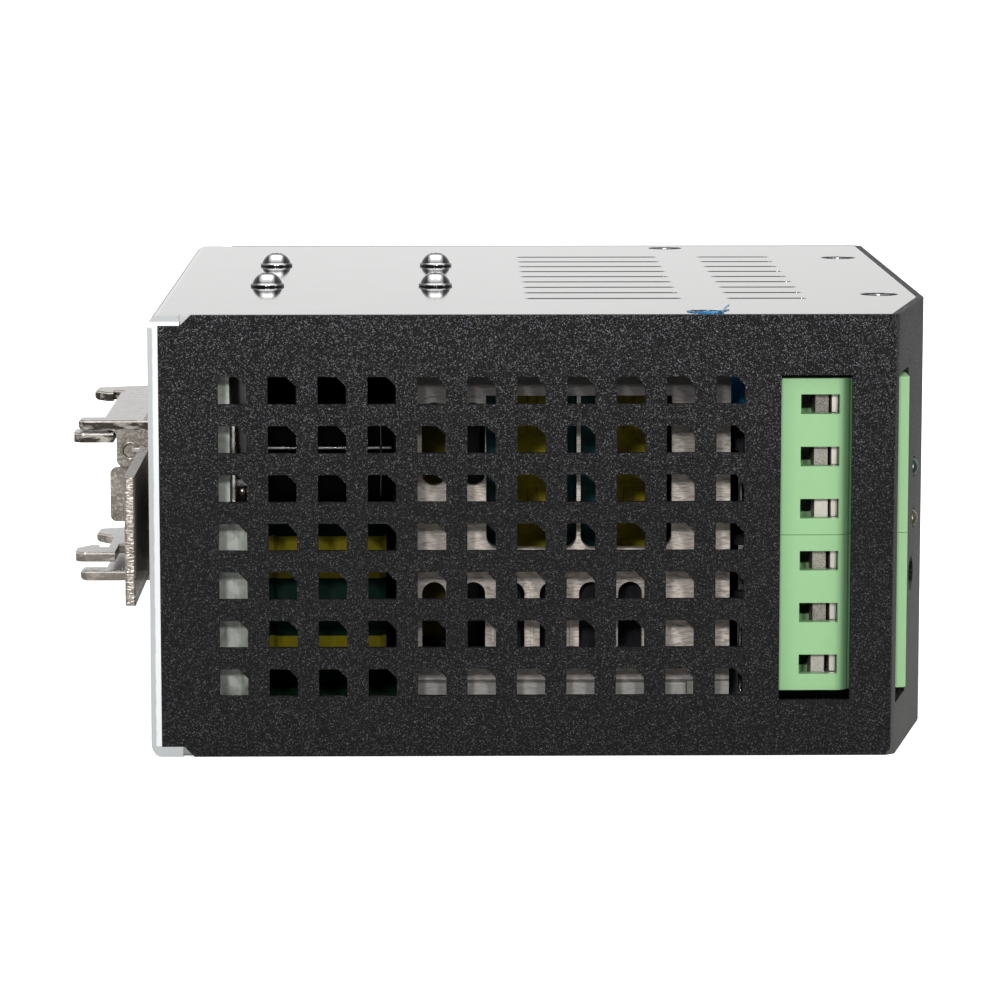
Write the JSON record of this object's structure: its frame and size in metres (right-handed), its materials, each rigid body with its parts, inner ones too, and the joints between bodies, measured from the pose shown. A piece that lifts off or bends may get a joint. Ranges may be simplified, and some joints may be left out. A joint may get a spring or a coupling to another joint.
{
  "type": "din rail power supply",
  "caption": "Box-shaped switching power supply lying on its side: silver side panels, perforated black cover, green screw terminals and a sprung metal clip for a 35 mm rail.",
  "frame": {"origin": "centre of the bounding box on the lower side panel, on which the unit lies", "axes": "+X towards the front with the lamps, -X towards the rail clip, -Y towards the output terminals and the release tab, +Z square out of the upper side panel"},
  "size_m": [0.1284, 0.1274, 0.0664],
  "materials": {
    "chassis_aluminium": "satin brushed",
    "black_powder_coat": "fine textured powder coat",
    "zinc_screw": "bright zinc plated",
    "nickel_screw": "polished nickel plated",
    "board_green": "solder mask",
    "brass": "machined",
    "insulating_film": "translucent film",
    "plate_aluminium": "rolled",
    "heatsink_aluminium": "mill finish",
    "black_epoxy": "moulded epoxy",
    "teal_core": "lacquered ferrite",
    "dark_core": "bare ferrite",
    "bobbin_black": "moulded",
    "yellow_tape": "polyester tape",
    "olive_tape": "polyester tape",
    "green_sleeve": "shrink sleeve",
    "black_sleeve": "shrink sleeve",
    "yellow_box": "moulded box",
    "blue_lacquer": "dipped lacquer",
    "fuse_ceramic": "white tube with metal clips",
    "led_green": "tinted lens",
    "led_yellow": "tinted lens",
    "trimmer_blue": "moulded",
    "terminal_green": "moulded polyamide",
    "contact_metal": "tin plated",
    "clamp_screw_steel": "zinc plated",
    "clip_nickel": "dull nickel plated",
    "spring_steel": "bright wire"
  },
  "bodies": {
    "case": {"chassis": "chassis_aluminium", "front_cover": "black_powder_coat", "cover_screws": "zinc_screw", "pcb_screws": "zinc_screw", "clip_screws": "zinc_screw", "dome_screws": "nickel_screw", "pcb": "board_green", "front_board": "board_green", "led_board": "board_green", "pcb_standoffs": "brass", "insulation_sheet": "insulating_film", "output_heatsink": "plate_aluminium", "primary_heatsink": "heatsink_aluminium", "bridge_rectifier": "black_epoxy", "mosfets": "black_epoxy", "output_diodes": "black_epoxy", "transformer_core": "teal_core", "choke_core": "teal_core", "line_filter_core": "dark_core", "transformer_bobbin": "bobbin_black", "transformer_winding": "yellow_tape", "choke_winding": "yellow_tape", "line_filter_winding": "olive_tape", "bulk_capacitors": "green_sleeve", "output_capacitors": "black_sleeve", "x_capacitor": "yellow_box", "y_capacitors": "blue_lacquer", "varistor": "blue_lacquer", "fuse": "fuse_ceramic", "led_ok": "led_green", "led_low": "led_yellow", "vadj_body": "trimmer_blue", "output_terminal_a": "terminal_green", "output_terminal_b": "terminal_green", "input_terminal": "terminal_green", "output_contacts": "contact_metal", "input_contacts": "contact_metal", "clip_bracket": "clip_nickel", "clip_spring": "spring_steel", "clip_rivets": "spring_steel"},
    "latch": {"clip_slider": "clip_nickel"},
    "adjuster": {"vadj_rotor": "brass"},
    "output_screw_1_body": {"output_screw_1": "clamp_screw_steel"},
    "output_cage_1_body": {"output_cage_1": "contact_metal"},
    "output_screw_2_body": {"output_screw_2": "clamp_screw_steel"},
    "output_cage_2_body": {"output_cage_2": "contact_metal"},
    "output_screw_3_body": {"output_screw_3": "clamp_screw_steel"},
    "output_cage_3_body": {"output_cage_3": "contact_metal"},
    "output_screw_4_body": {"output_screw_4": "clamp_screw_steel"},
    "output_cage_4_body": {"output_cage_4": "contact_metal"},
    "output_screw_5_body": {"output_screw_5": "clamp_screw_steel"},
    "output_cage_5_body": {"output_cage_5": "contact_metal"},
    "output_screw_6_body": {"output_screw_6": "clamp_screw_steel"},
    "output_cage_6_body": {"output_cage_6": "contact_metal"},
    "input_screw_1_body": {"input_screw_1": "clamp_screw_steel"},
    "input_cage_1_body": {"input_cage_1": "contact_metal"},
    "input_screw_2_body": {"input_screw_2": "clamp_screw_steel"},
    "input_cage_2_body": {"input_cage_2": "contact_metal"},
    "input_screw_3_body": {"input_screw_3": "clamp_screw_steel"},
    "input_cage_3_body": {"input_cage_3": "contact_metal"}
  },
  "joints": [
    {"name": "latch_slide", "type": "slide", "parent": "case", "child": "latch", "axis": [0, -1, 0], "range_m": [0, 0.005], "stiffness_N_per_m": 1200, "springref_m": -0.006, "deforming": ["clip_spring"]},
    {"name": "adjuster_turn", "type": "hinge", "parent": "case", "child": "adjuster", "pos_m": [0.06161, -0.04392, 0.0242], "axis": [0.9718, -0.2358, 0], "range_deg": [-135, 135]},
    {"name": "output_cage_1_lift", "type": "slide", "parent": "case", "child": "output_cage_1_body", "axis": [1, 0, 0], "range_m": [-0.0037, 0.0005]},
    {"name": "output_screw_1_turn", "type": "hinge", "parent": "case", "child": "output_screw_1_body", "pos_m": [0.05675, -0.05345, 0.01315], "axis": [-1, 0, 0], "range_deg": [-2665, 361]},
    {"name": "output_cage_2_lift", "type": "slide", "parent": "case", "child": "output_cage_2_body", "axis": [1, 0, 0], "range_m": [-0.0039, 0.0003]},
    {"name": "output_screw_2_turn", "type": "hinge", "parent": "case", "child": "output_screw_2_body", "pos_m": [0.05675, -0.05345, 0.02077], "axis": [-1, 0, 0], "range_deg": [-2809, 217]},
    {"name": "output_cage_3_lift", "type": "slide", "parent": "case", "child": "output_cage_3_body", "axis": [1, 0, 0], "range_m": [-0.0038, 0.0004]},
    {"name": "output_screw_3_turn", "type": "hinge", "parent": "case", "child": "output_screw_3_body", "pos_m": [0.05675, -0.05345, 0.02839], "axis": [-1, 0, 0], "range_deg": [-2737, 289]},
    {"name": "output_cage_4_lift", "type": "slide", "parent": "case", "child": "output_cage_4_body", "axis": [1, 0, 0], "range_m": [-0.004, 0.0002]},
    {"name": "output_screw_4_turn", "type": "hinge", "parent": "case", "child": "output_screw_4_body", "pos_m": [0.05675, -0.05345, 0.03601], "axis": [-1, 0, 0], "range_deg": [-2881, 145]},
    {"name": "output_cage_5_lift", "type": "slide", "parent": "case", "child": "output_cage_5_body", "axis": [1, 0, 0], "range_m": [-0.0039, 0.0003]},
    {"name": "output_screw_5_turn", "type": "hinge", "parent": "case", "child": "output_screw_5_body", "pos_m": [0.05675, -0.05345, 0.04363], "axis": [-1, 0, 0], "range_deg": [-2809, 217]},
    {"name": "output_cage_6_lift", "type": "slide", "parent": "case", "child": "output_cage_6_body", "axis": [1, 0, 0], "range_m": [-0.004, 0.0002]},
    {"name": "output_screw_6_turn", "type": "hinge", "parent": "case", "child": "output_screw_6_body", "pos_m": [0.05675, -0.05345, 0.05125], "axis": [-1, 0, 0], "range_deg": [-2881, 145]},
    {"name": "input_cage_1_lift", "type": "slide", "parent": "case", "child": "input_cage_1_body", "axis": [1, 0, 0], "range_m": [-0.0035, 0.0007]},
    {"name": "input_screw_1_turn", "type": "hinge", "parent": "case", "child": "input_screw_1_body", "pos_m": [0.05675, 0.05695, 0.02458], "axis": [-1, 0, 0], "range_deg": [-2521, 505]},
    {"name": "input_cage_2_lift", "type": "slide", "parent": "case", "child": "input_cage_2_body", "axis": [1, 0, 0], "range_m": [-0.0035, 0.0007]},
    {"name": "input_screw_2_turn", "type": "hinge", "parent": "case", "child": "input_screw_2_body", "pos_m": [0.05675, 0.05695, 0.0322], "axis": [-1, 0, 0], "range_deg": [-2521, 505]},
    {"name": "input_cage_3_lift", "type": "slide", "parent": "case", "child": "input_cage_3_body", "axis": [1, 0, 0], "range_m": [-0.0035, 0.0007]},
    {"name": "input_screw_3_turn", "type": "hinge", "parent": "case", "child": "input_screw_3_body", "pos_m": [0.05675, 0.05695, 0.03982], "axis": [-1, 0, 0], "range_deg": [-2521, 505]}
  ],
  "couplings": [
    {"joint": "output_screw_1_turn", "follows": "output_cage_1_lift", "rad_per_m": 12566},
    {"joint": "output_screw_2_turn", "follows": "output_cage_2_lift", "rad_per_m": 12566},
    {"joint": "output_screw_3_turn", "follows": "output_cage_3_lift", "rad_per_m": 12566},
    {"joint": "output_screw_4_turn", "follows": "output_cage_4_lift", "rad_per_m": 12566},
    {"joint": "output_screw_5_turn", "follows": "output_cage_5_lift", "rad_per_m": 12566},
    {"joint": "output_screw_6_turn", "follows": "output_cage_6_lift", "rad_per_m": 12566},
    {"joint": "input_screw_1_turn", "follows": "input_cage_1_lift", "rad_per_m": 12566},
    {"joint": "input_screw_2_turn", "follows": "input_cage_2_lift", "rad_per_m": 12566},
    {"joint": "input_screw_3_turn", "follows": "input_cage_3_lift", "rad_per_m": 12566}
  ]
}
